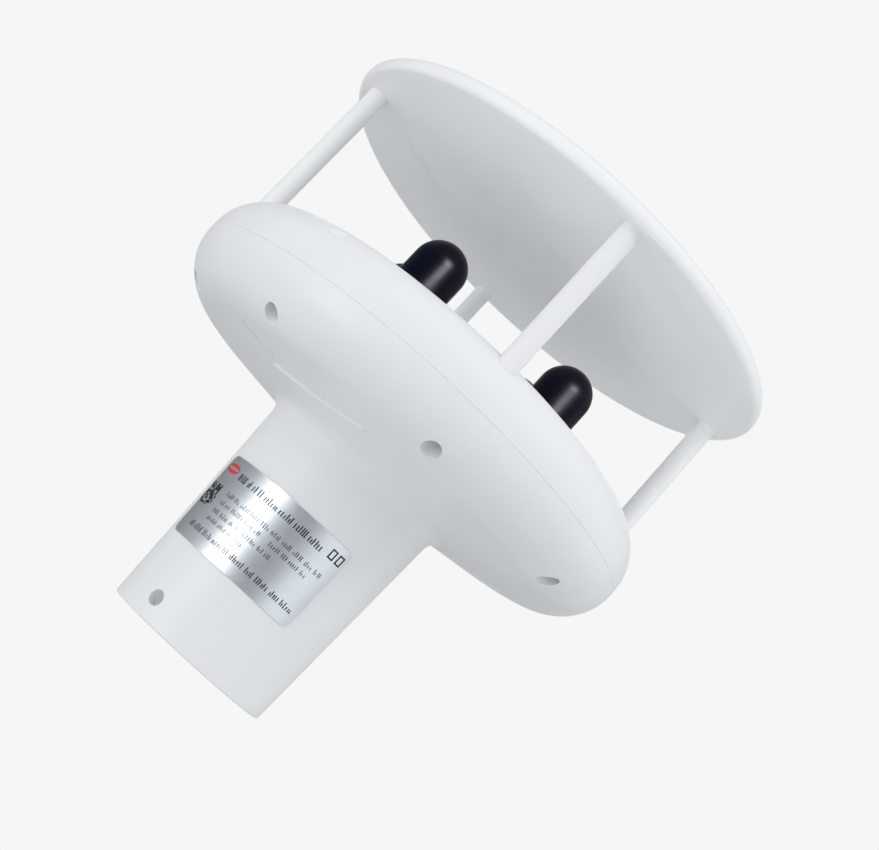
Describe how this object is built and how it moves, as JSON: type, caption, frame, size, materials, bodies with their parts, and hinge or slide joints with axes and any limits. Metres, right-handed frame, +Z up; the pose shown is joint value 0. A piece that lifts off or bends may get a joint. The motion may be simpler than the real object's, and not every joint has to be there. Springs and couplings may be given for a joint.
{
  "type": "ultrasonic anemometer",
  "caption": "White ultrasonic wind sensor: disc housing with black domed transducers, slim posts holding a flat round reflector, and a neck that sockets on a mast.",
  "frame": {"origin": "centre of the neck's open lower end", "axes": "+Z up along the sensor's axis, +X and +Y through two of the transducers, posts on the diagonals, fixing hole towards -Y"},
  "size_m": [0.175, 0.175, 0.1843],
  "materials": {
    "white_housing": "satin",
    "white_post": "satin",
    "black_cap": "satin",
    "seal_rubber": "matte",
    "backing_foam": "matte",
    "nut_plastic": "matte",
    "piezo_ceramic": "satin",
    "screw_steel": "satin",
    "brass": "satin",
    "board_green": "satin",
    "chip_black": "matte",
    "header_white": "matte",
    "wire_red": "satin",
    "connector_metal": "satin",
    "label_foil": "brushed"
  },
  "bodies": {
    "root": {"board_screws": "screw_steel", "connector_gasket": "seal_rubber", "connector_insulator": "chip_black", "connector_nut": "connector_metal", "connector_pins": "brass", "connector_shell": "connector_metal", "drive_transformers": "chip_black", "harness_header": "header_white", "harness_wires": "wire_red", "housing_screws": "screw_steel", "housing_seal": "seal_rubber", "lead_headers": "header_white", "lower_housing": "white_housing", "main_board": "board_green", "post_screws": "screw_steel", "post_sealing_washers": "seal_rubber", "processor_chip": "chip_black", "rating_label": "label_foil", "reflector_plate": "white_housing", "reflector_screws": "screw_steel", "roof_cover": "white_housing", "roof_gasket": "seal_rubber", "support_post_back_left": "white_post", "support_post_back_right": "white_post", "support_post_front_left": "white_post", "support_post_front_right": "white_post", "threaded_inserts": "brass", "transducer_backing_back": "backing_foam", "transducer_backing_front": "backing_foam", "transducer_backing_left": "backing_foam", "transducer_backing_right": "backing_foam", "transducer_cap_back": "black_cap", "transducer_cap_front": "black_cap", "transducer_cap_left": "black_cap", "transducer_cap_right": "black_cap", "transducer_gasket_back": "seal_rubber", "transducer_gasket_front": "seal_rubber", "transducer_gasket_left": "seal_rubber", "transducer_gasket_right": "seal_rubber", "transducer_leads": "wire_red", "transducer_nut_back": "nut_plastic", "transducer_nut_front": "nut_plastic", "transducer_nut_left": "nut_plastic", "transducer_nut_right": "nut_plastic", "transducer_piezo_back": "piezo_ceramic", "transducer_piezo_front": "piezo_ceramic", "transducer_piezo_left": "piezo_ceramic", "transducer_piezo_right": "piezo_ceramic", "upper_housing": "white_housing"}
  },
  "joints": []
}
